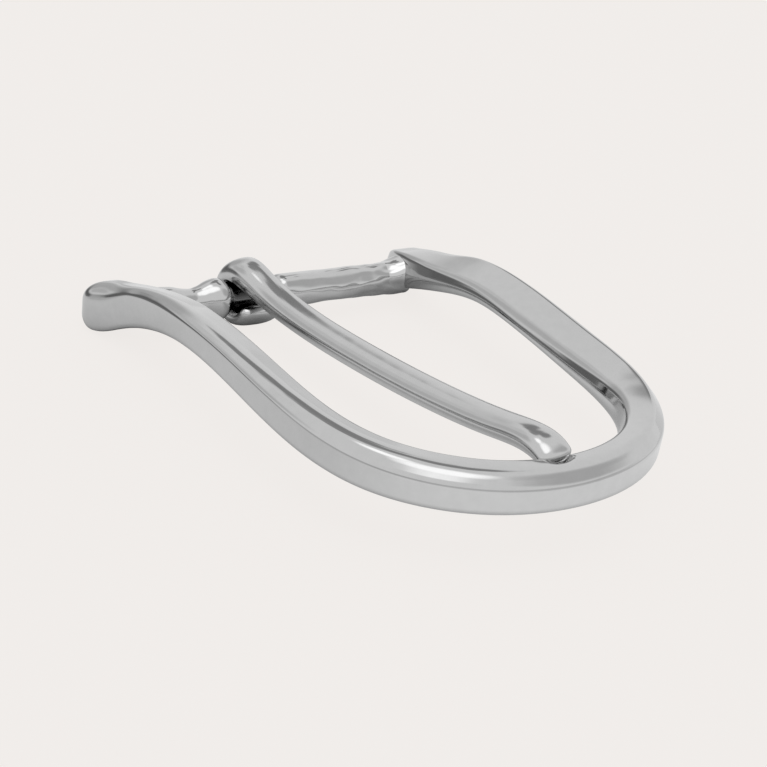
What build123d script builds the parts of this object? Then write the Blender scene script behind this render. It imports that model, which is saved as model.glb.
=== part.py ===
from build123d import *
import math
import os

# A horseshoe belt buckle for a 35 mm strap, in millimetres.
# The origin is the middle of the hinge bar's axis. +X runs from the bar to the
# toe, +Y across the strap, +Z up, away from the wearer.

# Hinge bar
BAR_RADIUS = 2.1
NECK_RADIUS = 1.5
SEAT_CENTRE_Y = -4.5
SEAT_WIDTH = 6.4
SHOULDER_ROUND = 0.7
BAR_RUN_IN = 17.9

# Solder fillets where the bar meets the arms
FILLET_REACH = 3.6
FILLET_RISE = 1.4
FILLET_LOWEST_Z = -2.3

# Loop: one half, from the toe round to the heel. The other half mirrors it.
# x, y: centre line in plan. width: across the arm. under: underside.
# crease: sharp outer edge. crown: top of the bevel. inner: inner top edge.
# bevel: how far the crown stands in from the crease.
STATION_KEYS = ("x", "y", "width", "under", "crease", "crown", "inner", "bevel")
TOE_MIDDLE = (53.6, 0.0, 3.7, 1.3, 4.3, 5.6, 5.2, 1.2)
TOE_SIDE = (50.6, 10.8, 3.9, 1.3, 4.4, 5.7, 5.2, 1.3)
CORNER = (44.3, 16.4, 4.4, 1.5, 4.5, 5.9, 4.9, 1.5)
ARM_FRONT = (33.4, 18.8, 4.9, 2.2, 5.3, 6.3, 4.7, 1.7)
ARM_MIDDLE = (22.2, 19.3, 4.9, 3.2, 6.1, 6.8, 5.4, 1.3)
ARM_CREST = (15.2, 19.5, 4.8, 3.0, 5.9, 6.8, 5.5, 1.1)
ARM_BACK = (8.3, 19.3, 4.8, 1.3, 4.8, 5.8, 4.6, 0.9)
AT_BAR = (0.6, 19.9, 4.9, -1.7, 2.9, 3.6, 2.8, 0.9)
HEEL_ROOT = (-2.6, 20.9, 5.0, -3.1, 2.0, 2.6, 1.9, 0.9)
HEEL = (-5.7, 22.3, 4.4, -3.3, 1.9, 2.4, 1.8, 0.8)
HALF_LOOP = (
    TOE_MIDDLE,
    TOE_SIDE,
    CORNER,
    ARM_FRONT,
    ARM_MIDDLE,
    ARM_CREST,
    ARM_BACK,
    AT_BAR,
    HEEL_ROOT,
    HEEL,
)
SECTIONS_PER_SPAN = 2
HEEL_ROUND_LENGTH = 3.4

# The toe's underside is filed flat where it bears on the strap
TOE_REST_Z = 1.5
TOE_REST_FROM_X = 44.0

# Prong: an open barrel eye round the neck, and a shank that runs to the toe
EYE_BORE_RADIUS = 1.56
EYE_RADIUS = 3.8
EYE_OFFSET_X = -0.2
EYE_OFFSET_Z = 0.35
EYE_WIDTH = 5.8
EYE_GAP_FROM = -40.0
EYE_GAP_TO = 0.0
# x, z: centre line. width and height: across and up the shank.
SHANK = (
    (0.0, 2.85, 5.2, 2.4),
    (2.6, 2.75, 4.5, 2.4),
    (6.0, 2.3, 4.2, 2.1),
    (11.5, 2.0, 4.1, 1.9),
    (20.0, 2.25, 4.1, 1.85),
    (29.0, 2.95, 4.1, 1.8),
    (38.0, 4.0, 4.0, 1.8),
    (45.0, 5.25, 3.9, 1.8),
    (48.9, 5.98, 3.9, 1.8),
    (50.8, 5.98, 4.0, 1.75),
    (52.4, 5.45, 3.9, 1.6),
)
SHANK_START_Y = SEAT_CENTRE_Y
SHANK_END_Y = -1.8
NOTCH_CLEARANCE = 0.2
NOTCH_CORNER = 0.7


def hermite(values, places, place):
    """Smooth curve through values at the given places, read at one place."""
    last = len(values) - 1
    slopes = []
    for i in range(last + 1):
        low = max(i - 1, 0)
        high = min(i + 1, last)
        slopes.append((values[high] - values[low]) / (places[high] - places[low]))
    i = 0
    while i < last - 1 and place > places[i + 1]:
        i += 1
    span = places[i + 1] - places[i]
    t = (place - places[i]) / span
    start = (1 + 2 * t) * (1 - t) ** 2 * values[i]
    start_slope = t * (1 - t) ** 2 * span * slopes[i]
    end = t * t * (3 - 2 * t) * values[i + 1]
    end_slope = t * t * (t - 1) * span * slopes[i + 1]
    return start + start_slope + end + end_slope


def whole_loop():
    """The half loop's stations and their mirror images, heel to heel."""
    mirrored = []
    for station in reversed(HALF_LOOP[1:]):
        flipped = list(station)
        flipped[1] = -flipped[1]
        mirrored.append(tuple(flipped))
    return mirrored + list(HALF_LOOP)


def chord_places(points):
    """Running length along a row of plan points."""
    places = [0.0]
    for first, second in zip(points, points[1:]):
        places.append(places[-1] + math.dist(first, second))
    return places


def loop_section(stations, places, place):
    """The five-sided cross-section of the loop at one place along it."""
    size = {}
    for column, key in enumerate(STATION_KEYS):
        size[key] = hermite([s[column] for s in stations], places, place)
    step = 0.05
    low = max(place - step, 0.0)
    high = min(place + step, places[-1])
    xs = [s[0] for s in stations]
    ys = [s[1] for s in stations]
    dx = hermite(xs, places, high) - hermite(xs, places, low)
    dy = hermite(ys, places, high) - hermite(ys, places, low)
    length = math.hypot(dx, dy)
    out = (dy / length, -dx / length)
    half = size["width"] / 2

    def corner(offset, z):
        return (size["x"] + out[0] * offset, size["y"] + out[1] * offset, z)

    outline = Polyline(
        corner(half, size["under"]),
        corner(half, size["crease"]),
        corner(half - size["bevel"], size["crown"]),
        corner(-half, size["inner"]),
        corner(-half, size["under"]),
        close=True,
    )
    return make_face(outline)


def heel_trim(side):
    """What is taken off one heel end to leave it round as seen from the side."""
    end = Vector(HEEL[0], HEEL[1] * side, 0)
    before = Vector(HEEL_ROOT[0], HEEL_ROOT[1] * side, 0)
    along = (end - before).normalized()
    across = Vector(along.Y, -along.X, 0)
    low = HEEL[3]
    high = HEEL[5]
    middle = (low + high) / 2
    start = end - along * HEEL_ROUND_LENGTH + Vector(0, 0, middle)
    plane = Plane(origin=start, x_dir=along, z_dir=across)
    keep = plane * Ellipse(HEEL_ROUND_LENGTH, (high - low) / 2)
    block_centre = start + along * (HEEL_ROUND_LENGTH + 1.0)
    block_plane = Plane(origin=block_centre, x_dir=along, z_dir=across)
    block = block_plane * Rectangle(2 * HEEL_ROUND_LENGTH + 2.0, 12.0)
    return extrude(block - keep, 6.0, both=True)


def toe_filing():
    """What is filed off the toe's underside to leave it flat."""
    length = 2 * (TOE_MIDDLE[0] - TOE_REST_FROM_X)
    width = 3 * CORNER[1]
    depth = 2.0
    centre_x = TOE_REST_FROM_X + length / 2
    return Pos(centre_x, 0, TOE_REST_Z - depth / 2) * Box(length, width, depth)


def build_loop():
    stations = whole_loop()
    places = chord_places([(s[0], s[1]) for s in stations])
    faces = []
    for first, second in zip(places, places[1:]):
        for part in range(SECTIONS_PER_SPAN):
            place = first + (second - first) * part / SECTIONS_PER_SPAN
            faces.append(loop_section(stations, places, place))
    faces.append(loop_section(stations, places, places[-1]))
    loop = loft(faces)
    for side in (1, -1):
        loop -= heel_trim(side)
    return loop - toe_filing()


def rod(radius, from_y, to_y):
    """A round rod along Y on the bar's axis."""
    plane = Plane(origin=(0, from_y, 0), x_dir=(1, 0, 0), z_dir=(0, 1, 0))
    return extrude(plane * Circle(radius), to_y - from_y)


def build_bar(loop):
    low = SEAT_CENTRE_Y - SEAT_WIDTH / 2
    high = SEAT_CENTRE_Y + SEAT_WIDTH / 2
    near = rod(BAR_RADIUS, -BAR_RUN_IN, low)
    near = fillet(near.edges().filter_by(GeomType.CIRCLE).sort_by(Axis.Y)[-1], SHOULDER_ROUND)
    far = rod(BAR_RADIUS, high, BAR_RUN_IN)
    far = fillet(far.edges().filter_by(GeomType.CIRCLE).sort_by(Axis.Y)[0], SHOULDER_ROUND)
    neck = rod(NECK_RADIUS, low - 1.0, high + 1.0)
    return near + neck + far - loop


def build_fillet(side, loop, bar):
    """A flared collar of solder between the bar and one arm's inner wall."""
    wall = AT_BAR[1] - AT_BAR[2] / 2
    start = (wall - FILLET_REACH) * side
    foot = (wall + 0.6) * side
    inner = BAR_RADIUS - 0.4
    tip = BAR_RADIUS + 0.05
    top = BAR_RADIUS + FILLET_RISE
    outline = Polyline((top, foot), (inner, foot), (inner, start), (tip, start))
    flare = Spline(
        (tip, start),
        (BAR_RADIUS + FILLET_RISE * 0.28, (wall - FILLET_REACH * 0.42) * side),
        (top, foot),
        tangents=((0, side), (1, side * 0.6)),
    )
    profile = make_face(outline + flare)
    collar = revolve(profile, Axis.Y)
    below = Pos(0, foot, FILLET_LOWEST_Z - 5.0) * Box(20.0, 20.0, 10.0)
    return collar - below - loop - bar


def build_shank():
    faces = []
    length = SHANK[-1][0] - SHANK[0][0]
    for i, (x, z, width, height) in enumerate(SHANK):
        low = SHANK[max(i - 1, 0)]
        high = SHANK[min(i + 1, len(SHANK) - 1)]
        y_slope = (SHANK_END_Y - SHANK_START_Y) / length
        y = SHANK_START_Y + y_slope * (x - SHANK[0][0])
        run = high[0] - low[0]
        along = Vector(run, y_slope * run, high[1] - low[1]).normalized()
        plane = Plane(origin=(x, y, z), x_dir=(-y_slope, 1, 0), z_dir=along)
        round_corner = 0.42 * min(width, height)
        faces.append(plane * RectangleRounded(width, height, round_corner))
    return loft(faces)


def build_prong():
    low = SEAT_CENTRE_Y - EYE_WIDTH / 2
    eye_plane = Plane(origin=(0, low, 0), x_dir=(1, 0, 0), z_dir=(0, 1, 0))
    barrel_plane = Plane(
        origin=(EYE_OFFSET_X, low, EYE_OFFSET_Z), x_dir=(1, 0, 0), z_dir=(0, 1, 0)
    )
    barrel = extrude(barrel_plane * Circle(EYE_RADIUS), EYE_WIDTH)
    barrel = fillet(barrel.edges().filter_by(GeomType.CIRCLE), 0.6)
    bore = extrude(eye_plane * Circle(EYE_BORE_RADIUS), EYE_WIDTH)
    reach = 8.0
    gap_edge_low = (
        reach * math.cos(math.radians(EYE_GAP_FROM)),
        reach * math.sin(math.radians(EYE_GAP_FROM)),
    )
    gap_edge_high = (
        reach * math.cos(math.radians(EYE_GAP_TO)),
        reach * math.sin(math.radians(EYE_GAP_TO)),
    )
    wedge_outline = Polyline(
        (0, low, 0),
        (gap_edge_low[0], low, gap_edge_low[1]),
        (gap_edge_high[0], low, gap_edge_high[1]),
        close=True,
    )
    wedge = extrude(make_face(wedge_outline), EYE_WIDTH, dir=(0, 1, 0))
    prong = barrel - wedge + build_shank() - bore
    return prong


def prong_notch():
    """The scoop in the toe that the prong's tip drops into."""
    back = SHANK[-3]
    tip = SHANK[-1]
    width = max(back[2], tip[2]) + 2 * NOTCH_CLEARANCE
    bottom = tip[1] - tip[3] / 2 - NOTCH_CLEARANCE
    height = 6.0
    plane = Plane(
        origin=(back[0] - 2.0, SHANK_END_Y, bottom + height / 2),
        x_dir=(0, 1, 0),
        z_dir=(1, 0, 0),
    )
    channel = plane * RectangleRounded(width, height, NOTCH_CORNER)
    length = tip[0] + NOTCH_CLEARANCE - back[0] + 2.0
    return extrude(channel, length)


def main():
    os.makedirs("parts", exist_ok=True)
    loop = build_loop() - prong_notch()
    bar = build_bar(loop)
    prong = build_prong()
    parts = {
        "frame_loop": loop,
        "hinge_bar": bar,
        "solder_fillet_near": build_fillet(-1, loop, bar),
        "solder_fillet_far": build_fillet(1, loop, bar),
        "prong": prong,
    }
    for name, shape in parts.items():
        shape.label = name
        export_step(shape, f"parts/{name}.step")


main()
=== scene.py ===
import math

import bmesh
import bpy
import numpy as np
from bpy.props import FloatProperty, FloatVectorProperty, IntProperty, PointerProperty
from mathutils import Matrix, Vector, noise


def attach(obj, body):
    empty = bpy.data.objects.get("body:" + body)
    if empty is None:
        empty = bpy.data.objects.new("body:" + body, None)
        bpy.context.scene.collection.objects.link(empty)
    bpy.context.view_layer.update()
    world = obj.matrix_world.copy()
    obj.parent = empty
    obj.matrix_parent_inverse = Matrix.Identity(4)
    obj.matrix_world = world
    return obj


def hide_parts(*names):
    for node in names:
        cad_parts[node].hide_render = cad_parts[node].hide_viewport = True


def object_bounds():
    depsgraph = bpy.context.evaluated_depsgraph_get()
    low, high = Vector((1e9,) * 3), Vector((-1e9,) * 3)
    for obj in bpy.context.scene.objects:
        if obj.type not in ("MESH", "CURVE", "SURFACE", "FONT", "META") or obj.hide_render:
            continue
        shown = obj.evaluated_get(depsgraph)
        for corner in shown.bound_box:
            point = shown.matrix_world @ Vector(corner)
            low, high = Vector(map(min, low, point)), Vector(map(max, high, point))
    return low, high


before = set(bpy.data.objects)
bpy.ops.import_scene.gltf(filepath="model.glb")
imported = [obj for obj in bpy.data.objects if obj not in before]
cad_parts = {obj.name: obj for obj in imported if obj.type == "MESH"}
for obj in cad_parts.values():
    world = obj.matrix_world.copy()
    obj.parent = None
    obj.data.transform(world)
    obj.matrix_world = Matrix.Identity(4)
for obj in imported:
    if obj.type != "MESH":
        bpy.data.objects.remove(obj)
CAD_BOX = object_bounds()

bl_info = {
    "name": "Horseshoe Belt Buckle",
    "version": (1, 0, 0),
    "blender": (4, 5, 0),
    "location": "View3D > Sidebar > Buckle",
    "description": "Makes a hand-polished horseshoe belt buckle with a hinged prong",
    "category": "Add Mesh",
}

MM = 0.001

# Loop stations in millimetres, from the middle of the toe round to one heel.
# Plan place, width, underside, outer crease, crown of the bevel, inner edge,
# and how far the crown stands in from the crease.
LOOP_STATIONS = (
    (53.6, 0.0, 3.7, 1.5, 4.3, 5.6, 5.3, 1.2),
    (50.6, 10.8, 3.9, 1.5, 4.4, 5.7, 5.2, 1.3),
    (44.3, 16.4, 4.4, 1.5, 4.5, 5.9, 4.9, 1.5),
    (33.4, 18.8, 4.9, 2.2, 5.3, 6.3, 4.7, 1.7),
    (22.2, 19.3, 4.9, 3.2, 6.1, 6.8, 5.4, 1.3),
    (15.2, 19.5, 4.8, 3.0, 5.9, 6.8, 5.5, 1.1),
    (8.3, 19.3, 4.8, 1.3, 4.8, 5.8, 4.6, 0.9),
    (0.6, 19.9, 4.9, -1.7, 2.9, 3.6, 2.8, 0.9),
    (-2.6, 20.9, 5.0, -3.1, 2.0, 2.7, 2.0, 0.9),
    (-6.2, 22.45, 4.4, -3.4, 1.9, 2.6, 2.0, 0.8),
)

# Bar radius along the bar, in millimetres, from the near arm to the far one.
BAR_PROFILE = (
    (-18.2, 2.30), (-16.2, 2.34), (-14.9, 2.28), (-13.5, 1.88), (-12.3, 1.64),
    (-11.2, 1.84), (-10.2, 2.30), (-9.3, 2.56), (-8.6, 2.52), (-8.05, 2.20),
    (-7.75, 1.75), (-7.4, 1.50), (-5.0, 1.50), (-1.6, 1.50), (-1.3, 1.62),
    (-1.0, 1.95), (-0.4, 2.10), (2.0, 2.08), (6.0, 2.04), (10.0, 2.02),
    (14.0, 2.06), (16.0, 2.12), (18.2, 2.15),
)

# Prong stations in millimetres, from the free end of the hook to the tip:
# x, z, width across the strap, thickness, y.
PRONG_STATIONS = (
    (3.30, -0.15, 5.2, 1.5, -4.5),
    (2.65, -1.35, 5.6, 1.8, -4.5),
    (1.35, -2.30, 5.8, 2.1, -4.5),
    (-0.30, -2.62, 5.9, 2.25, -4.5),
    (-1.90, -2.05, 5.9, 2.3, -4.5),
    (-2.95, -0.75, 5.8, 2.3, -4.5),
    (-3.15, 0.95, 5.5, 2.35, -4.65),
    (-2.45, 2.50, 5.0, 2.35, -4.85),
    (-0.85, 3.30, 4.5, 2.4, -5.0),
    (1.30, 3.22, 4.3, 2.45, -4.95),
    (3.50, 2.70, 4.1, 2.30, -4.7),
    (6.4, 2.25, 4.1, 2.05, -4.4),
    (11.5, 1.98, 4.1, 1.9, -4.05),
    (20.0, 2.25, 4.1, 1.85, -3.6),
    (29.0, 2.95, 4.1, 1.8, -3.1),
    (38.0, 4.02, 4.0, 1.8, -2.6),
    (45.0, 5.25, 3.9, 1.8, -2.2),
    (48.9, 5.98, 3.9, 1.8, -2.0),
    (50.7, 5.92, 4.0, 1.6, -1.9),
    (51.7, 5.55, 3.9, 1.3, -1.85),
    (52.4, 5.10, 3.7, 1.0, -1.85),
)
SEAT_Y = -4.5
TIP_Y = -1.8

# Rings of the loop: how much closer they stand by the scoop, between which
# distances from the toe that fades out, and how many round off each heel.
SCOOP_RINGS_CLOSER = 0.62
SCOOP_RINGS_FADE = (0.005, 0.009)
HEEL_RINGS = 24
END_GAP = 1e-7
TANGENT_REACH = 1e-5

# Distance from the middle line at which an arm counts fully as near or far.
ARM_SIDE = 0.012

# Hand work on the loop, in metres.
FAR_LEAN = 0.26 * MM
FAR_HEEL_RISE = 0.35 * MM
HEEL_CREASE_DROP = 0.60 * MM
HEEL_BEVEL_GAIN = 0.70 * MM
HEEL_WEAR = 1.2 * MM
WALL_BULGE = 0.48 * MM
WALL_BULGE_ROUND = 0.7 * MM
INNER_EDGE_SET_BACK = 0.10 * MM

# The scoop in the toe: its floor, where it runs out past the tip, and how
# softly its rim is blended.
SCOOP_FLOOR = 0.00460
SCOOP_RUN_OUT = (0.0526, 0.0537)
SCOOP_RUN_OUT_RISE = 0.0022
SCOOP_SIDE_SLOPE = 3.0
SCOOP_BLEND = 0.00020

# The arm's inner wall at the bar, how far the solder runs into the arm, how deep
# it lies inside the bar where it starts, how uneven it is, and how much of it
# there is on the near side.
ARM_WALL = 0.01745
SOLDER_IN_ARM = 0.0007
SOLDER_SUNK = 0.00006
SOLDER_UNEVEN = 0.00016
NEAR_SOLDER_SHARE = 0.2

# Weights that even out the bar's profile, by distance along it in millimetres.
PROFILE_BLEND = ((-0.36, 0.1), (-0.18, 0.24), (0.0, 0.32), (0.18, 0.24), (0.36, 0.1))

# Lengths over which the two ends of the prong round off, the length of the nose
# that has closer rings, and how square the section is in the hook.
HOOK_END_ROUND = 0.0008
NOSE_ROUND = 0.0009
NOSE_LENGTH = 0.0012
NOSE_RINGS = 12
HOOK_SQUARE = 2.4


class BuckleLoopSizes(bpy.types.PropertyGroup):
    crease_round: FloatProperty(
        name="Outer crease", description="Rounding left on the sharp outer crease",
        default=0.00040, unit="LENGTH", precision=5)
    crown_round: FloatProperty(
        name="Crown", description="How far the crown of the bevel is blended",
        default=0.0012, unit="LENGTH", precision=5)
    inner_round: FloatProperty(
        name="Inner edge", description="Rounding of the inner top edge",
        default=0.00055, unit="LENGTH", precision=5)
    under_round: FloatProperty(
        name="Lower edges", description="Rounding of both lower edges",
        default=0.0007, unit="LENGTH", precision=5)
    heel_round: FloatProperty(
        name="Heel rounding", description="Length over which a heel's top rounds off",
        default=0.0043, unit="LENGTH", precision=5)
    heel_under_round: FloatProperty(
        name="Heel under", description="Length over which its underside rounds off",
        default=0.0029, unit="LENGTH", precision=5)
    ring_step: FloatProperty(
        name="Ring step", description="Distance between rings of vertices",
        default=0.00042, unit="LENGTH", precision=5)
    far_heel_cut: FloatProperty(
        name="Far heel cut", description="How much shorter the far heel is",
        default=0.0013, unit="LENGTH", precision=5)
    lean: FloatProperty(
        name="Lean", description="How far the inner edges are raised or lowered",
        default=0.00024, unit="LENGTH", precision=5)
    notch_radius: FloatProperty(
        name="Notch radius", description="Radius of the scoop that takes the tip",
        default=0.0018, unit="LENGTH", precision=5)


class BuckleBarSizes(bpy.types.PropertyGroup):
    segments: IntProperty(
        name="Segments", description="Vertices round the bar", default=72, min=12)
    ring_step: FloatProperty(
        name="Ring step", description="Distance between rings of vertices",
        default=0.00016, unit="LENGTH", precision=5)
    file_depth: FloatProperty(
        name="File marks", description="Depth of the hand-filed unevenness",
        default=0.00010, unit="LENGTH", precision=6)
    solder_reach: FloatProperty(
        name="Solder reach", description="How far solder runs along the bar",
        default=0.0036, unit="LENGTH", precision=5)
    solder_rise: FloatProperty(
        name="Solder rise", description="How far solder stands above the bar",
        default=0.00105, unit="LENGTH", precision=5)


class BuckleProngSizes(bpy.types.PropertyGroup):
    dome: FloatProperty(
        name="Dome", description="How square the domed upper side of the shank is",
        default=2.5, min=2.0, max=8.0)
    sole: FloatProperty(
        name="Sole", description="How square the flat lower side of the shank is",
        default=2.6, min=2.0, max=8.0)
    dome_share: FloatProperty(
        name="Dome share", description="Share of the thickness above the widest place",
        default=0.88, min=0.5, max=0.95)
    twist: FloatProperty(
        name="Twist", description="Turn of the shank's section about its length",
        default=math.radians(10.0), subtype="ANGLE")
    segments: IntProperty(
        name="Segments", description="Vertices round the shank", default=80, min=12)
    ring_step: FloatProperty(
        name="Ring step", description="Distance between rings of vertices",
        default=0.00035, unit="LENGTH", precision=5)


class BuckleFinish(bpy.types.PropertyGroup):
    metal: FloatVectorProperty(
        name="Metal", description="Colour of the polished metal",
        default=(0.553, 0.553, 0.553), subtype="COLOR")
    solder: FloatVectorProperty(
        name="Solder", description="Colour of the polished solder",
        default=(0.60, 0.60, 0.60), subtype="COLOR")
    # Painted shade: this dark colour on the bar's neck stands in for the shade and dark
    # reflection inside the prong's eye.
    painted_seat_shade: FloatVectorProperty(
        name="Tarnish", description="Colour where the polishing wheel can't reach",
        default=(0.14, 0.14, 0.14), subtype="COLOR")


class BuckleStage(bpy.types.PropertyGroup):
    floor: FloatVectorProperty(
        name="Floor", description="Colour of the pale floor",
        default=(0.871, 0.839, 0.815), subtype="COLOR")
    azimuth: FloatProperty(
        name="Camera azimuth", description="Turn of the camera round the buckle",
        default=math.radians(51.60), subtype="ANGLE")
    elevation: FloatProperty(
        name="Camera elevation", description="Height angle of the camera",
        default=math.radians(25.97), subtype="ANGLE")
    roll: FloatProperty(
        name="Camera roll", description="Tilt of the camera about its own axis",
        default=math.radians(8.72), subtype="ANGLE")
    distance: FloatProperty(
        name="Camera distance", description="Distance from camera to its target",
        default=0.14279, unit="LENGTH", precision=5)
    target: FloatVectorProperty(
        name="Camera target", description="Point that the camera looks at",
        default=(0.02334, -0.00052, -0.00129), subtype="XYZ", unit="LENGTH")
    lens: FloatProperty(
        name="Lens", description="Focal length of the camera's lens",
        default=60.91, unit="CAMERA")


# ---------------------------------------------------------------- curve maths

def spline_slopes(places, values):
    """Second derivatives of the natural cubic spline through the values."""
    count = len(places)
    system = np.zeros((count, count))
    target = np.zeros((count, values.shape[1]))
    system[0, 0] = 1.0
    system[-1, -1] = 1.0
    for i in range(1, count - 1):
        before = places[i] - places[i - 1]
        after = places[i + 1] - places[i]
        system[i, i - 1] = before
        system[i, i] = 2 * (before + after)
        system[i, i + 1] = after
        target[i] = 6 * ((values[i + 1] - values[i]) / after
                         - (values[i] - values[i - 1]) / before)
    return np.linalg.solve(system, target)


def spline_read(places, values, wanted):
    """The natural cubic spline through rows of values, read at the wanted places."""
    places = np.asarray(places, float)
    values = np.asarray(values, float)
    bend = spline_slopes(places, values)
    index = np.clip(np.searchsorted(places, wanted) - 1, 0, len(places) - 2)
    span = (places[index + 1] - places[index])[:, None]
    a = (places[index + 1][:, None] - wanted[:, None]) / span
    b = 1 - a
    return (a * values[index] + b * values[index + 1]
            + ((a ** 3 - a) * bend[index] + (b ** 3 - b) * bend[index + 1])
            * span ** 2 / 6)


def running_length(points):
    """Distance along a row of points from its first."""
    steps = np.linalg.norm(np.diff(np.asarray(points, float), axis=0), axis=1)
    return np.concatenate([[0.0], np.cumsum(steps)])


def soften(rows, passes):
    """Evens out rows of values along their length and leaves both ends alone."""
    rows = rows.copy()
    for _ in range(passes):
        rows[1:-1] = rows[1:-1] * 0.5 + (rows[:-2] + rows[2:]) * 0.25
    return rows


def rounded_outline(corners, cuts, arc_points, edge_points):
    """A closed outline whose corners are blended by parabolas.

    Every outline of the same corner count has the same number of points."""
    count = len(corners)
    points = []
    for i in range(count):
        corner = np.array(corners[i])
        before = np.array(corners[i - 1]) - corner
        after = np.array(corners[(i + 1) % count]) - corner
        before_length = np.linalg.norm(before)
        after_length = np.linalg.norm(after)
        cut_before = min(cuts[i], before_length * 0.48)
        cut_after = min(cuts[i], after_length * 0.48)
        start = corner + before / before_length * cut_before
        end = corner + after / after_length * cut_after
        for k in range(arc_points + 1):
            t = k / arc_points
            points.append((1 - t) ** 2 * start + 2 * t * (1 - t) * corner + t * t * end)
        following = np.array(corners[(i + 1) % count])
        following_after = corner - following
        next_cut = min(cuts[(i + 1) % count], np.linalg.norm(following_after) * 0.48)
        stop = following + following_after / np.linalg.norm(following_after) * next_cut
        for k in range(1, edge_points + 1):
            t = k / (edge_points + 1)
            points.append(end * (1 - t) + stop * t)
    return np.array(points)


# ---------------------------------------------------------------- mesh helpers

def mesh_from_rings(name, rings):
    """One closed smooth mesh from rings of points that all have the same count."""
    bm = bmesh.new()
    rows = [[bm.verts.new(Vector(p)) for p in ring] for ring in rings]
    size = len(rows[0])
    for first, second in zip(rows, rows[1:]):
        for i in range(size):
            j = (i + 1) % size
            bm.faces.new((first[i], first[j], second[j], second[i]))
    for row in (rows[0][::-1], rows[-1]):
        middle = bm.verts.new(sum((v.co for v in row), Vector()) / size)
        for i in range(size):
            bm.faces.new((row[i], row[(i + 1) % size], middle))
    bmesh.ops.recalc_face_normals(bm, faces=bm.faces)
    for face in bm.faces:
        face.smooth = True
    mesh = bpy.data.meshes.new(name)
    bm.to_mesh(mesh)
    bm.free()
    piece = bpy.data.objects.new(name, mesh)
    bpy.context.scene.collection.objects.link(piece)
    return piece


def smooth_step(low, high, value):
    """0 below low, 1 above high, and a smooth rise between them."""
    t = min(max((value - low) / (high - low), 0.0), 1.0)
    return t * t * (3 - 2 * t)


# ---------------------------------------------------------------- the loop

def all_stations():
    """The loop's stations in metres, from the near heel round to the far one."""
    mirrored = [(x, -y, *rest) for x, y, *rest in reversed(LOOP_STATIONS[1:])]
    return np.array(mirrored + list(LOOP_STATIONS)) * MM


def ring_places(total, sizes):
    """Where rings go along the loop: closer together by the toe's scoop and the heels."""
    even = [0.0]
    while even[-1] < total:
        from_toe = abs(even[-1] - total / 2)
        fine = 1.0 - SCOOP_RINGS_CLOSER * (1 - smooth_step(*SCOOP_RINGS_FADE, from_toe))
        even.append(even[-1] + sizes.ring_step * fine)
    even = np.array(even[:-1])
    total -= sizes.far_heel_cut
    rounding = sizes.heel_round
    ends = np.array([rounding * (1 - math.cos(math.pi / 2 * k / HEEL_RINGS))
                     for k in range(1, HEEL_RINGS)])
    keep = (even > rounding) & (even < total - rounding)
    return np.concatenate([[END_GAP], ends, even[keep],
                           total - ends[::-1], [total - END_GAP]])


def heel_scale(from_end, sizes):
    """Factors near a heel end for the upper height, lower height and width."""
    top = min(max(1 - from_end / sizes.heel_round, 0.0), 1.0)
    low = min(max(1 - from_end / sizes.heel_under_round, 0.0), 1.0)
    return (math.sqrt(max(1 - top ** 2, 4e-6)), math.sqrt(max(1 - low ** 2, 4e-6)),
            math.sqrt(max(1 - low ** 3, 4e-4)))


def loop_ring(row, out, sizes, scale, from_end):
    """Section points of the loop at one station, in the shared frame."""
    x, y, across, under, crease, crown, inner, bevel = row
    # side runs from -1 on the near arm to 1 on the far one; far rises from 0 to 1
    # along the far arm, past its heel.
    side = min(max(y / ARM_SIDE, -1.0), 1.0)
    far = max(side, 0.0) * smooth_step(0.004, 0.012, x)
    lean = side * smooth_step(0.004, 0.014, x) * sizes.lean
    lean += far * FAR_LEAN * (1 - smooth_step(0.022, 0.034, x))
    high = FAR_HEEL_RISE * max(side, 0.0) * (1 - smooth_step(0.0, 0.007, x))
    inner += high - lean * (1 - 0.45 * far)
    crown += high + lean * (0.5 + 0.15 * far)
    heel = 1 - smooth_step(0.002, 0.010, from_end)
    crease -= HEEL_CREASE_DROP * heel
    bevel += HEEL_BEVEL_GAIN * heel
    half = across / 2
    inner_edge = -half + INNER_EDGE_SET_BACK
    corners = [
        (half, under),
        (half, crease),
        (half - bevel, crown),
        (inner_edge, inner + INNER_EDGE_SET_BACK / 2),
        (-half - WALL_BULGE, inner - 0.60 * (inner - under)),
        (inner_edge, under),
    ]
    cuts = [sizes.under_round, sizes.crease_round + HEEL_WEAR * heel,
            sizes.crown_round * (1 - 0.75 * far),
            sizes.inner_round, WALL_BULGE_ROUND, sizes.under_round]
    points = rounded_outline(corners, cuts, arc_points=8, edge_points=12)
    upper, lower, width = scale
    middle = (under + crown) / 2
    lift = points[:, 1] - middle
    points[:, 1] = middle + np.where(lift > 0, lift * upper, lift * lower)
    points[:, 0] = points[:, 0] * width
    ring = np.zeros((len(points), 3))
    ring[:, 0] = x + out[0] * points[:, 0]
    ring[:, 1] = y + out[1] * points[:, 0]
    ring[:, 2] = points[:, 1]
    return ring


def loop_rings(sizes):
    """Rings of points all along the loop, heel to heel."""
    stations = all_stations()
    station_places = running_length(stations[:, :2])
    full = station_places[-1]
    places = ring_places(full, sizes)
    total = full - sizes.far_heel_cut
    rows = spline_read(station_places, stations, places)
    ahead = spline_read(station_places, stations,
                        np.clip(places + TANGENT_REACH, 0, total))
    behind = spline_read(station_places, stations,
                         np.clip(places - TANGENT_REACH, 0, total))
    rings = []
    for place, row, later, earlier in zip(places, rows, ahead, behind):
        step = later[:2] - earlier[:2]
        step = step / np.linalg.norm(step)
        out = (step[1], -step[0])
        from_end = min(place, total - place)
        rings.append(loop_ring(row, out, sizes, heel_scale(from_end, sizes), from_end))
    return rings


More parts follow.
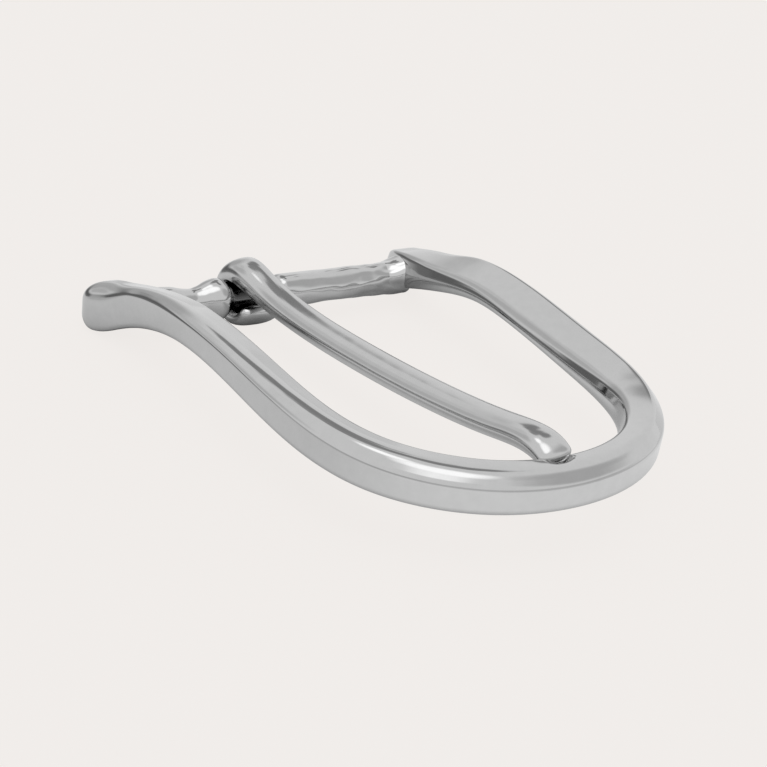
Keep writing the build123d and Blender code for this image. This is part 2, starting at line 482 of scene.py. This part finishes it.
def scoop_notch(rings, sizes):
    """Presses the scoop for the prong's tip into the top of the toe."""
    radius = sizes.notch_radius
    for ring in rings:
        for point in ring:
            across = abs(point[1] - TIP_Y * MM)
            if across > 0.006 or point[0] < 0.045 or point[2] < 0.003:
                continue
            floor = SCOOP_FLOOR + radius - math.sqrt(
                max(radius ** 2 - min(across, radius) ** 2, 0.0))
            floor += SCOOP_RUN_OUT_RISE * smooth_step(*SCOOP_RUN_OUT, point[0])
            floor += max(across - radius, 0.0) * SCOOP_SIDE_SLOPE
            gap = point[2] - floor
            point[2] -= 0.5 * (gap + math.sqrt(gap * gap + SCOOP_BLEND ** 2))
    return rings


class BUCKLE_OT_loop(bpy.types.Operator):
    """Makes the bent and bevelled loop of the buckle."""
    bl_idname = "buckle.loop"
    bl_label = "Buckle Loop"

    def execute(self, context):
        sizes = context.scene.buckle_loop
        rings = scoop_notch(loop_rings(sizes), sizes)
        piece = mesh_from_rings("polished_loop", rings)
        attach(piece, "frame")
        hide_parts("frame_loop")
        piece.data.materials.append(polished_metal(
            "hand_polished_loop", context.scene.buckle_finish,
            wave=0.00005, grain=0.09))
        return {"FINISHED"}


# ---------------------------------------------------------------- bar and solder

def uneven(point, depth, scale, offset):
    """Smooth hand-filed unevenness at a point, in metres."""
    place = Vector(point) * scale + Vector(offset)
    return noise.noise(place, noise_basis="PERLIN_ORIGINAL") * depth


def bar_radius(y, x, z, depth):
    """Radius of the hand-filed bar at a place along it, in direction x, z.

    The profile is evened out along the bar, and the seat is left unfiled."""
    profile = np.array(BAR_PROFILE) * MM
    shifts, weights = zip(*PROFILE_BLEND)
    near = [np.interp(y + shift * MM, profile[:, 0], profile[:, 1]) for shift in shifts]
    radius = float(np.dot(near, weights))
    filed = smooth_step(-0.0012, 0.0, y) + 1 - smooth_step(-0.0082, -0.0076, y)
    place = (x * radius, y * 0.50, z * radius)
    bump = uneven(place, depth * 2.4, 430.0, (3.1, 0.4, 7.7))
    lumps = 0.5 + 1.6 * smooth_step(0.0085, 0.0125, y)
    bump += uneven(place, depth * lumps, 900.0, (9.2, 5.3, 1.4))
    return radius + bump * filed


def circle(segments):
    """Directions evenly spaced round a circle."""
    angles = [2 * math.pi * k / segments for k in range(segments)]
    return [(math.cos(angle), math.sin(angle)) for angle in angles]


def bar_rings(sizes):
    """Rings of points all along the bar."""
    ends = BAR_PROFILE[0][0] * MM, BAR_PROFILE[-1][0] * MM
    count = int((ends[1] - ends[0]) / sizes.ring_step)
    rings = []
    for y in np.linspace(ends[0], ends[1], count):
        ring = []
        for x, z in circle(sizes.segments):
            radius = bar_radius(float(y), x, z, sizes.file_depth)
            ring.append((x * radius, y, z * radius))
        rings.append(ring)
    return rings


def solder_rings(side, sizes, segments=96, steps=44):
    """Solder that swells out of the bar's surface and runs up the arm's wall."""
    full_rise = sizes.solder_rise if side > 0 else sizes.solder_rise * NEAR_SOLDER_SHARE
    rings = []
    for i in range(steps + 1):
        t = i / steps
        y = side * (ARM_WALL - sizes.solder_reach * (1 - t) + SOLDER_IN_ARM * t)
        sunk = smooth_step(ARM_WALL - 0.0001, ARM_WALL + 0.0006, abs(y))
        ring = []
        for x, z in circle(segments):
            above = smooth_step(-0.55, 0.35, z)
            rise = full_rise
            if side > 0:
                rise *= 1 + 0.5 * smooth_step(0.0, 1.0, x)
            radius = bar_radius(y, x, z, sizes.file_depth) - SOLDER_SUNK
            radius += (rise + SOLDER_SUNK) * above * (t ** 2.2 - 0.9 * sunk)
            place = (x * radius, y * 0.8, z * radius)
            bump = uneven(place, SOLDER_UNEVEN, 560.0, (1.7 + side, 8.2, 4.4))
            radius += bump * smooth_step(0.2, 0.7, t) * above
            ring.append((x * radius, y, z * radius))
        rings.append(ring if side > 0 else ring[::-1])
    return rings


class BUCKLE_OT_bar(bpy.types.Operator):
    """Makes the hinge bar with its necked seat for the prong."""
    bl_idname = "buckle.bar"
    bl_label = "Hinge Bar"

    def execute(self, context):
        sizes = context.scene.buckle_bar
        piece = mesh_from_rings("filed_bar", bar_rings(sizes))
        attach(piece, "frame")
        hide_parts("hinge_bar")
        # The bar's material carries painted shade on its neck.
        piece.data.materials.append(polished_metal(
            "hand_polished_bar", context.scene.buckle_finish,
            wave=0.00005, grain=0.06, seat=True))
        return {"FINISHED"}


class BUCKLE_OT_solder(bpy.types.Operator):
    """Makes the two solder collars that join the bar to the arms."""
    bl_idname = "buckle.solder"
    bl_label = "Solder Collars"

    def execute(self, context):
        sizes = context.scene.buckle_bar
        finish = context.scene.buckle_finish
        for side, name, node in ((-1, "solder_collar_near", "solder_fillet_near"),
                                 (1, "solder_collar_far", "solder_fillet_far")):
            piece = mesh_from_rings(name, solder_rings(side, sizes))
            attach(piece, "frame")
            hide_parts(node)
            piece.data.materials.append(polished_metal(
                "polished_" + name, finish, wave=0.00008, grain=0.06,
                colour=finish.solder))
        return {"FINISHED"}


# ---------------------------------------------------------------- the prong

def prong_shrink(from_hook, from_tip):
    """How much of its full section the prong has near either end."""
    shrink = 1.0
    if from_hook < HOOK_END_ROUND:
        shrink = math.sqrt(max(1 - (1 - from_hook / HOOK_END_ROUND) ** 2, 0.02))
    if from_tip < NOSE_ROUND:
        shrink = math.sqrt(1 - (1 - from_tip / NOSE_ROUND) ** 2 * 0.9)
    return shrink


def prong_rings(sizes):
    """Rings of points along the prong: round in the hook, domed in the shank."""
    stations = np.array(PRONG_STATIONS) * MM
    places = running_length(stations[:, :2])
    total = places[-1]
    even = np.linspace(0.0, total, int(total / sizes.ring_step))
    rows = soften(spline_read(places, stations, even), 12)
    nose = [total - NOSE_LENGTH * (1 - math.sin(math.pi / 2 * k / NOSE_RINGS))
            for k in range(NOSE_RINGS + 1)]
    wanted = np.concatenate([even[even < total - NOSE_LENGTH - 0.0002], nose])
    rows = spline_read(even, rows, wanted)
    tangents = np.gradient(rows[:, :2], axis=0)
    tangents /= np.linalg.norm(tangents, axis=1)[:, None]
    rings = []
    for place, row, tangent in zip(wanted, rows, tangents):
        x, z, width, height, y = row
        shrink = prong_shrink(place, total - place)
        shank = smooth_step(0.008, 0.014, place)
        share = 0.5 + (sizes.dome_share - 0.5) * shank
        drop = height * (share - 0.5)
        sole = sizes.sole + (HOOK_SQUARE - sizes.sole) * (1 - shank)
        turn = sizes.twist * shank
        normal = (-tangent[1], tangent[0])
        ring = []
        for c, s in circle(sizes.segments):
            power = 2.0 / (sizes.dome if s > 0 else sole)
            reach = height * (share if s > 0 else 1 - share)
            across = math.copysign(abs(c) ** power, c) * width / 2 * shrink
            up = math.copysign(abs(s) ** power, s) * reach * shrink - drop
            lift = up * math.cos(turn) + across * math.sin(turn)
            aside = across * math.cos(turn) - up * math.sin(turn)
            ring.append((x + normal[0] * lift, y + aside, z + normal[1] * lift))
        rings.append(ring)
    return rings


class BUCKLE_OT_prong(bpy.types.Operator):
    """Makes the bent prong with the open eye that turns on the bar."""
    bl_idname = "buckle.prong"
    bl_label = "Prong"

    def execute(self, context):
        sizes = context.scene.buckle_prong
        piece = mesh_from_rings("bent_prong", prong_rings(sizes))
        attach(piece, "prong")
        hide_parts("prong")
        piece.data.materials.append(polished_metal(
            "hand_polished_prong", context.scene.buckle_finish,
            wave=0.00004, grain=0.12))
        return {"FINISHED"}


# ---------------------------------------------------------------- materials

def new_group(name, inputs, outputs):
    """An empty shader node group with named sockets."""
    group = bpy.data.node_groups.new(name, "ShaderNodeTree")
    for socket, kind, default in inputs:
        made = group.interface.new_socket(name=socket, in_out="INPUT", socket_type=kind)
        if default is not None:
            made.default_value = default
    for socket, kind in outputs:
        group.interface.new_socket(name=socket, in_out="OUTPUT", socket_type=kind)
    return group, group.nodes.new("NodeGroupInput"), group.nodes.new("NodeGroupOutput")


def add_math(nodes, links, operation, first, second):
    """A Math node fed by sockets or plain numbers."""
    node = nodes.new("ShaderNodeMath")
    node.operation = operation
    for slot, value in ((0, first), (1, second)):
        if isinstance(value, (int, float)):
            node.inputs[slot].default_value = value
        else:
            links.new(value, node.inputs[slot])
    return node.outputs[0]


def add_ramp(nodes, links, value, low, high, at_low=0.0, at_high=1.0):
    """A smooth rise or fall of the value from low to high."""
    node = nodes.new("ShaderNodeMapRange")
    node.interpolation_type = "SMOOTHSTEP"
    links.new(value, node.inputs["Value"])
    node.inputs["From Min"].default_value = low
    node.inputs["From Max"].default_value = high
    node.inputs["To Min"].default_value = at_low
    node.inputs["To Max"].default_value = at_high
    return node.outputs["Result"]


def add_mix(nodes, links, factor, first, second):
    """A blend from first to second, each fed by a socket or a plain number."""
    node = nodes.new("ShaderNodeMix")
    links.new(factor, node.inputs["Factor"])
    for slot, value in (("A", first), ("B", second)):
        if isinstance(value, (int, float)):
            node.inputs[slot].default_value = value
        else:
            links.new(value, node.inputs[slot])
    return node.outputs["Result"]


def add_noise(nodes, links, vector, scale, detail, roughness):
    """A noise texture's value, with its scale fed by a socket or a plain number."""
    node = nodes.new("ShaderNodeTexNoise")
    node.inputs["Detail"].default_value = detail
    node.inputs["Roughness"].default_value = roughness
    links.new(vector, node.inputs["Vector"])
    if isinstance(scale, (int, float)):
        node.inputs["Scale"].default_value = scale
    else:
        links.new(scale, node.inputs["Scale"])
    return node.outputs["Fac"]


def hand_polish_group():
    """Slow waves left by a polishing wheel, and the fine satin grain over them."""
    name = "hand_polish"
    if name in bpy.data.node_groups:
        return bpy.data.node_groups[name]
    group, source, result = new_group(
        name,
        [("Vector", "NodeSocketVector", None),
         ("Wave Scale", "NodeSocketFloat", 260.0),
         ("Wave Height", "NodeSocketFloat", 0.00006),
         ("Grain Scale", "NodeSocketFloat", 9000.0),
         ("Grain Height", "NodeSocketFloat", 0.00000008)],
        [("Height", "NodeSocketFloat"), ("Cloud", "NodeSocketFloat")])
    nodes, links = group.nodes, group.links
    wave = add_noise(nodes, links, source.outputs["Vector"],
                     source.outputs["Wave Scale"], 1.0, 0.4)
    grain = add_noise(nodes, links, source.outputs["Vector"],
                      source.outputs["Grain Scale"], 2.0, 0.6)
    cloud = add_noise(nodes, links, source.outputs["Vector"], 900.0, 4.0, 0.6)
    tall = add_math(nodes, links, "MULTIPLY", wave, source.outputs["Wave Height"])
    fine = add_math(nodes, links, "MULTIPLY", grain, source.outputs["Grain Height"])
    total = add_math(nodes, links, "ADD", tall, fine)
    links.new(total, result.inputs["Height"])
    links.new(cloud, result.inputs["Cloud"])
    return group


def hairline_group():
    """Fine straight polishing lines that follow the length of the buckle."""
    name = "polishing_lines"
    if name in bpy.data.node_groups:
        return bpy.data.node_groups[name]
    group, source, result = new_group(
        name,
        [("Vector", "NodeSocketVector", None),
         ("Line Scale", "NodeSocketFloat", 5200.0),
         ("Line Height", "NodeSocketFloat", 0.0000003)],
        [("Height", "NodeSocketFloat"), ("Mask", "NodeSocketFloat")])
    nodes, links = group.nodes, group.links
    stretch = nodes.new("ShaderNodeVectorMath")
    stretch.operation = "MULTIPLY"
    stretch.inputs[1].default_value = (0.05, 0.35, 1.0)
    links.new(source.outputs["Vector"], stretch.inputs[0])
    lines = add_noise(nodes, links, stretch.outputs[0],
                      source.outputs["Line Scale"], 3.0, 0.65)
    tall = add_math(nodes, links, "MULTIPLY", lines, source.outputs["Line Height"])
    links.new(tall, result.inputs["Height"])
    links.new(add_ramp(nodes, links, lines, 0.52, 0.70), result.inputs["Mask"])
    return group


def painted_seat_shade_group():
    """Mask of painted shade round the bar's neck, standing in for the shade inside the prong's
    eye.
    """
    name = "seat_tarnish"
    if name in bpy.data.node_groups:
        return bpy.data.node_groups[name]
    group, source, result = new_group(
        name,
        [("Vector", "NodeSocketVector", None),
         ("Seat Y", "NodeSocketFloat", SEAT_Y * MM),
         ("Half Width", "NodeSocketFloat", 0.0031),
         ("Radius", "NodeSocketFloat", 0.00172)],
        [("Mask", "NodeSocketFloat")])
    nodes, links = group.nodes, group.links
    split = nodes.new("ShaderNodeSeparateXYZ")
    links.new(source.outputs["Vector"], split.inputs[0])
    x_squared = add_math(nodes, links, "MULTIPLY", split.outputs["X"], split.outputs["X"])
    z_squared = add_math(nodes, links, "MULTIPLY", split.outputs["Z"], split.outputs["Z"])
    radius = add_math(nodes, links, "SQRT",
                      add_math(nodes, links, "ADD", x_squared, z_squared), 0.0)
    inside = add_ramp(
        nodes, links, add_math(nodes, links, "SUBTRACT", radius, source.outputs["Radius"]),
        0.0, 0.00025, 1.0, 0.0)
    offset = add_math(nodes, links, "ABSOLUTE",
                      add_math(nodes, links, "SUBTRACT", split.outputs["Y"],
                               source.outputs["Seat Y"]), 0.0)
    along = add_ramp(
        nodes, links, add_math(nodes, links, "SUBTRACT", offset, source.outputs["Half Width"]),
        0.0, 0.0004, 1.0, 0.0)
    links.new(add_math(nodes, links, "MULTIPLY", inside, along), result.inputs["Mask"])
    return group


def place_group(nodes, group, **values):
    """A node that uses the group, with some of its inputs set."""
    node = nodes.new("ShaderNodeGroup")
    node.node_tree = group
    for socket, value in values.items():
        node.inputs[socket.replace("_", " ")].default_value = value
    return node


def polished_metal(name, finish, wave, grain, seat=False, colour=None):
    """Mirror-polished metal with a hand-worked surface.

    wave is the height of its slow waves, grain its roughness at the least."""
    material = bpy.data.materials.new(name)
    material.use_nodes = True
    nodes = material.node_tree.nodes
    links = material.node_tree.links
    shader = nodes["Principled BSDF"]
    shader.inputs["Metallic"].default_value = 1.0
    place = nodes.new("ShaderNodeTexCoord").outputs["Object"]
    polish = place_group(nodes, hand_polish_group(), Wave_Height=wave)
    lines = place_group(nodes, hairline_group())
    links.new(place, polish.inputs["Vector"])
    links.new(place, lines.inputs["Vector"])
    base = tuple(colour or finish.metal)

    shade = nodes.new("ShaderNodeMix")
    shade.data_type = "RGBA"
    shade.inputs["A"].default_value = (*(c * 0.94 for c in base), 1.0)
    shade.inputs["B"].default_value = (*(min(c * 1.05, 1.0) for c in base), 1.0)
    links.new(polish.outputs["Cloud"], shade.inputs["Factor"])
    tint = shade.outputs["Result"]
    # Painted shade: on the bar, the neck is darkened to stand in for the shade inside the
    # prong's eye.
    if seat:
        painted_seat_shade = place_group(nodes, painted_seat_shade_group())
        links.new(place, painted_seat_shade.inputs["Vector"])
        dark = nodes.new("ShaderNodeMix")
        dark.data_type = "RGBA"
        dark.inputs["B"].default_value = (*finish.painted_seat_shade, 1.0)
        links.new(tint, dark.inputs["A"])
        links.new(painted_seat_shade.outputs["Mask"], dark.inputs["Factor"])
        tint = dark.outputs["Result"]
    links.new(tint, shader.inputs["Base Color"])

    rough = nodes.new("ShaderNodeMapRange")
    rough.inputs["To Min"].default_value = grain
    rough.inputs["To Max"].default_value = grain + 0.02
    mixed = add_math(nodes, links, "MULTIPLY", polish.outputs["Cloud"],
                     lines.outputs["Mask"])
    links.new(mixed, rough.inputs["Value"])
    links.new(rough.outputs["Result"], shader.inputs["Roughness"])

    height = add_math(nodes, links, "ADD", polish.outputs["Height"],
                      lines.outputs["Height"])
    bump = nodes.new("ShaderNodeBump")
    bump.inputs["Strength"].default_value = 1.0
    bump.inputs["Distance"].default_value = 1.0
    links.new(height, bump.inputs["Height"])
    links.new(bump.outputs["Normal"], shader.inputs["Normal"])
    return material


# ---------------------------------------------------------------- the stage

def direction(azimuth, elevation):
    """Unit vector; azimuth 0 is +X and 90 is +Y, elevation is above the floor."""
    a = math.radians(azimuth)
    e = math.radians(elevation)
    return Vector((math.cos(a) * math.cos(e), math.sin(a) * math.cos(e), math.sin(e)))


# Azimuth, elevation, full radius, fade radius (degrees), brightness: the parts
# of the white tent that are darker or brighter than the rest.
TENT_PATCHES = (
    (178.0, 12.0, 12.0, 28.0, 0.60),
    (214.0, 32.0, 9.0, 22.0, 0.68),
    (196.0, 40.0, 5.0, 13.0, 0.82),
    (137.0, 1.0, 5.0, 10.0, 0.80),
    (149.0, 36.0, 4.5, 9.0, 0.33),
    (155.0, 43.0, 4.5, 8.5, 0.33),
    (147.0, 51.0, 5.0, 9.5, 0.33),
    (161.0, 54.0, 4.0, 9.0, 0.36),
    (131.0, 57.0, 4.5, 9.0, 0.33),
    (53.3, 43.0, 10.0, 28.0, 0.62),
    (330.0, 80.0, 8.0, 21.0, 1.75),
    (200.0, 74.0, 4.0, 11.0, 1.75),
)
TENT_LEVEL = 0.94
FLOOR_GAP = 0.0002
FLOOR_GLOW = 0.955
# Elevations in degrees between which the dark foot of the tent fades out.
FOOT_TOP = 15.0
FOOT_FULL = 6.0
# How bright the foot of the tent is: on its dark side, in front, and out beyond
# the toe. The azimuths say where the front and the toe are.
FOOT_DARK = 0.17
FOOT_FRONT = 0.58
FOOT_BEYOND_TOE = 0.66
FRONT_AZIMUTH = 300.0
TOE_AZIMUTH = 20.0


def sine(degrees):
    return math.sin(math.radians(degrees))


def cosine(degrees):
    return math.cos(math.radians(degrees))


def tent_world(scene):
    """A white tent: pale all round, dark at its foot, with a few soft panels."""
    world = bpy.data.worlds.new("white_tent")
    scene.world = world
    world.use_nodes = True
    nodes = world.node_tree.nodes
    links = world.node_tree.links
    background = nodes["Background"]
    ray = nodes.new("ShaderNodeTexCoord").outputs["Generated"]
    split = nodes.new("ShaderNodeSeparateXYZ")
    links.new(ray, split.inputs[0])

    level = TENT_LEVEL
    for azimuth, elevation, full, fade, brightness in TENT_PATCHES:
        dot = add_dot(nodes, links, ray, direction(azimuth, elevation))
        mask = add_ramp(nodes, links, dot, cosine(fade), cosine(full))
        level = add_mix(nodes, links, mask, level, brightness)

    foot = add_ramp(nodes, links, split.outputs["Z"], sine(FOOT_TOP), sine(FOOT_FULL))
    shade = add_math(nodes, links, "MULTIPLY", foot, away_from_window(nodes, links, ray))
    level = add_mix(nodes, links, shade, level, foot_level(nodes, links, ray))

    path = nodes.new("ShaderNodeLightPath")
    seen = nodes.new("ShaderNodeMix")
    seen.data_type = "RGBA"
    seen.inputs["B"].default_value = (*scene.buckle_stage.floor, 1.0)
    links.new(path.outputs["Is Camera Ray"], seen.inputs["Factor"])
    links.new(level, seen.inputs["A"])
    links.new(seen.outputs["Result"], background.inputs["Color"])
    background.inputs["Strength"].default_value = 1.0


def add_dot(nodes, links, vector, constant):
    """The dot product of a vector socket with a constant vector."""
    node = nodes.new("ShaderNodeVectorMath")
    node.operation = "DOT_PRODUCT"
    node.inputs[1].default_value = constant
    links.new(vector, node.inputs[0])
    return node.outputs["Value"]


def facing(nodes, links, place, azimuth):
    """Cosine of the angle on the floor between the direction of place and azimuth."""
    level = nodes.new("ShaderNodeVectorMath")
    level.operation = "MULTIPLY"
    level.inputs[1].default_value = (1.0, 1.0, 0.0)
    links.new(place, level.inputs[0])
    unit = nodes.new("ShaderNodeVectorMath")
    unit.operation = "NORMALIZE"
    links.new(level.outputs["Vector"], unit.inputs[0])
    return add_dot(nodes, links, unit.outputs["Vector"], direction(azimuth, 0.0))


def away_from_window(nodes, links, place):
    """1 all round except towards the tent's bright back, where it is 0."""
    return add_ramp(nodes, links, facing(nodes, links, place, FRONT_AZIMUTH),
                    -0.75, -0.35)


def foot_level(nodes, links, place):
    """Brightness of the tent's foot, which is greyer in front and beyond the toe."""
    front = add_ramp(nodes, links, facing(nodes, links, place, FRONT_AZIMUTH),
                     0.27, 0.45, FOOT_DARK, FOOT_FRONT)
    toe = add_ramp(nodes, links, facing(nodes, links, place, TOE_AZIMUTH), 0.15, 0.65)
    return add_mix(nodes, links, toe, front, FOOT_BEYOND_TOE)


def floor_reflection(nodes, links):
    """How bright the floor looks in the metal: a painted falloff away from the buckle, with
    painted contact shadow under it.
    """
    place = nodes.new("ShaderNodeTexCoord").outputs["Object"]
    offset = nodes.new("ShaderNodeVectorMath")
    offset.operation = "DISTANCE"
    offset.inputs[1].default_value = (0.025, 0.0, 0.0)
    links.new(place, offset.inputs[0])
    reach = add_ramp(nodes, links, offset.outputs["Value"], 0.050, 0.095)
    far = add_math(nodes, links, "MULTIPLY", reach, away_from_window(nodes, links, place))
    split = nodes.new("ShaderNodeSeparateXYZ")
    links.new(place, split.inputs[0])
    near = add_ramp(nodes, links, split.outputs["X"], 0.03, 0.07, 0.76, 0.96)
    level = add_mix(nodes, links, far, near, foot_level(nodes, links, place))
    # Painted contact shadow: ambient occlusion darkens the floor's glow under the buckle, as
    # seen in the metal.
    painted_contact_shadow = nodes.new("ShaderNodeAmbientOcclusion")
    painted_contact_shadow.inputs["Distance"].default_value = 0.010
    painted_contact_shadow.samples = 8
    shade = add_math(nodes, links, "POWER", painted_contact_shadow.outputs["AO"], 1.3)
    return add_math(nodes, links, "MULTIPLY", level, shade)


def pale_floor(stage):
    """A large pale floor that glows a little, so that shadows stay faint."""
    bm = bmesh.new()
    bmesh.ops.create_circle(bm, cap_ends=True, segments=96, radius=3.0)
    mesh = bpy.data.meshes.new("floor")
    bm.to_mesh(mesh)
    bm.free()
    floor = bpy.data.objects.new("floor", mesh)
    bpy.context.scene.collection.objects.link(floor)
    floor.location.z = CAD_BOX[0].z - FLOOR_GAP
    material = bpy.data.materials.new("pale_floor")
    material.use_nodes = True
    nodes = material.node_tree.nodes
    links = material.node_tree.links
    shader = nodes["Principled BSDF"]
    shader.inputs["Base Color"].default_value = (0.05, 0.05, 0.05, 1.0)
    shader.inputs["Roughness"].default_value = 0.9
    shader.inputs["Specular IOR Level"].default_value = 0.0
    path = nodes.new("ShaderNodeLightPath")
    glow = nodes.new("ShaderNodeMix")
    glow.data_type = "RGBA"
    glow.inputs["B"].default_value = (*(c * FLOOR_GLOW for c in stage.floor), 1.0)
    links.new(floor_reflection(nodes, links), glow.inputs["A"])
    links.new(path.outputs["Is Camera Ray"], glow.inputs["Factor"])
    links.new(glow.outputs["Result"], shader.inputs["Emission Color"])
    shader.inputs["Emission Strength"].default_value = 1.0
    mesh.materials.append(material)


def studio_camera(scene):
    """The camera, turned by azimuth, elevation and roll about its target."""
    stage = scene.buckle_stage
    a, e, r = stage.azimuth, stage.elevation, stage.roll
    back = Vector((math.sin(a) * math.cos(e), -math.cos(a) * math.cos(e), math.sin(e)))
    right = Vector((math.cos(a), math.sin(a), 0.0))
    up = back.cross(right)
    rolled_right = right * math.cos(r) + up * math.sin(r)
    rolled_up = up * math.cos(r) - right * math.sin(r)
    matrix = Matrix((rolled_right, rolled_up, back)).transposed().to_4x4()
    matrix.translation = Vector(stage.target) + back * stage.distance
    data = bpy.data.cameras.new("studio_camera")
    data.sensor_width = 36.0
    data.lens = stage.lens
    data.clip_start = 0.005
    data.clip_end = 20.0
    camera = bpy.data.objects.new("studio_camera", data)
    camera.matrix_world = matrix
    scene.collection.objects.link(camera)
    scene.camera = camera


class BUCKLE_OT_stage(bpy.types.Operator):
    """Makes the pale floor, the white tent's light and the camera."""
    bl_idname = "buckle.stage"
    bl_label = "Stage"

    def execute(self, context):
        scene = context.scene
        scene.view_settings.view_transform = "Standard"
        pale_floor(scene.buckle_stage)
        tent_world(scene)
        studio_camera(scene)
        return {"FINISHED"}


class BUCKLE_PT_panel(bpy.types.Panel):
    """Lists the pieces of the buckle."""
    bl_idname = "BUCKLE_PT_panel"
    bl_label = "Belt Buckle"
    bl_space_type = "VIEW_3D"
    bl_region_type = "UI"
    bl_category = "Buckle"

    def draw(self, context):
        for operator in OPERATORS:
            self.layout.operator(operator.bl_idname)


GROUPS = (
    ("buckle_loop", BuckleLoopSizes),
    ("buckle_bar", BuckleBarSizes),
    ("buckle_prong", BuckleProngSizes),
    ("buckle_finish", BuckleFinish),
    ("buckle_stage", BuckleStage),
)
OPERATORS = (BUCKLE_OT_stage, BUCKLE_OT_loop, BUCKLE_OT_bar, BUCKLE_OT_solder,
             BUCKLE_OT_prong)


def register():
    for name, group in GROUPS:
        bpy.utils.register_class(group)
        setattr(bpy.types.Scene, name, PointerProperty(type=group))
    for operator in OPERATORS:
        bpy.utils.register_class(operator)
    bpy.utils.register_class(BUCKLE_PT_panel)


def unregister():
    bpy.utils.unregister_class(BUCKLE_PT_panel)
    for operator in reversed(OPERATORS):
        bpy.utils.unregister_class(operator)
    for name, group in reversed(GROUPS):
        delattr(bpy.types.Scene, name)
        bpy.utils.unregister_class(group)


def main():
    register()
    bpy.ops.buckle.stage()
    bpy.ops.buckle.loop()
    bpy.ops.buckle.bar()
    bpy.ops.buckle.solder()
    bpy.ops.buckle.prong()


if __name__ == "__main__":
    main()
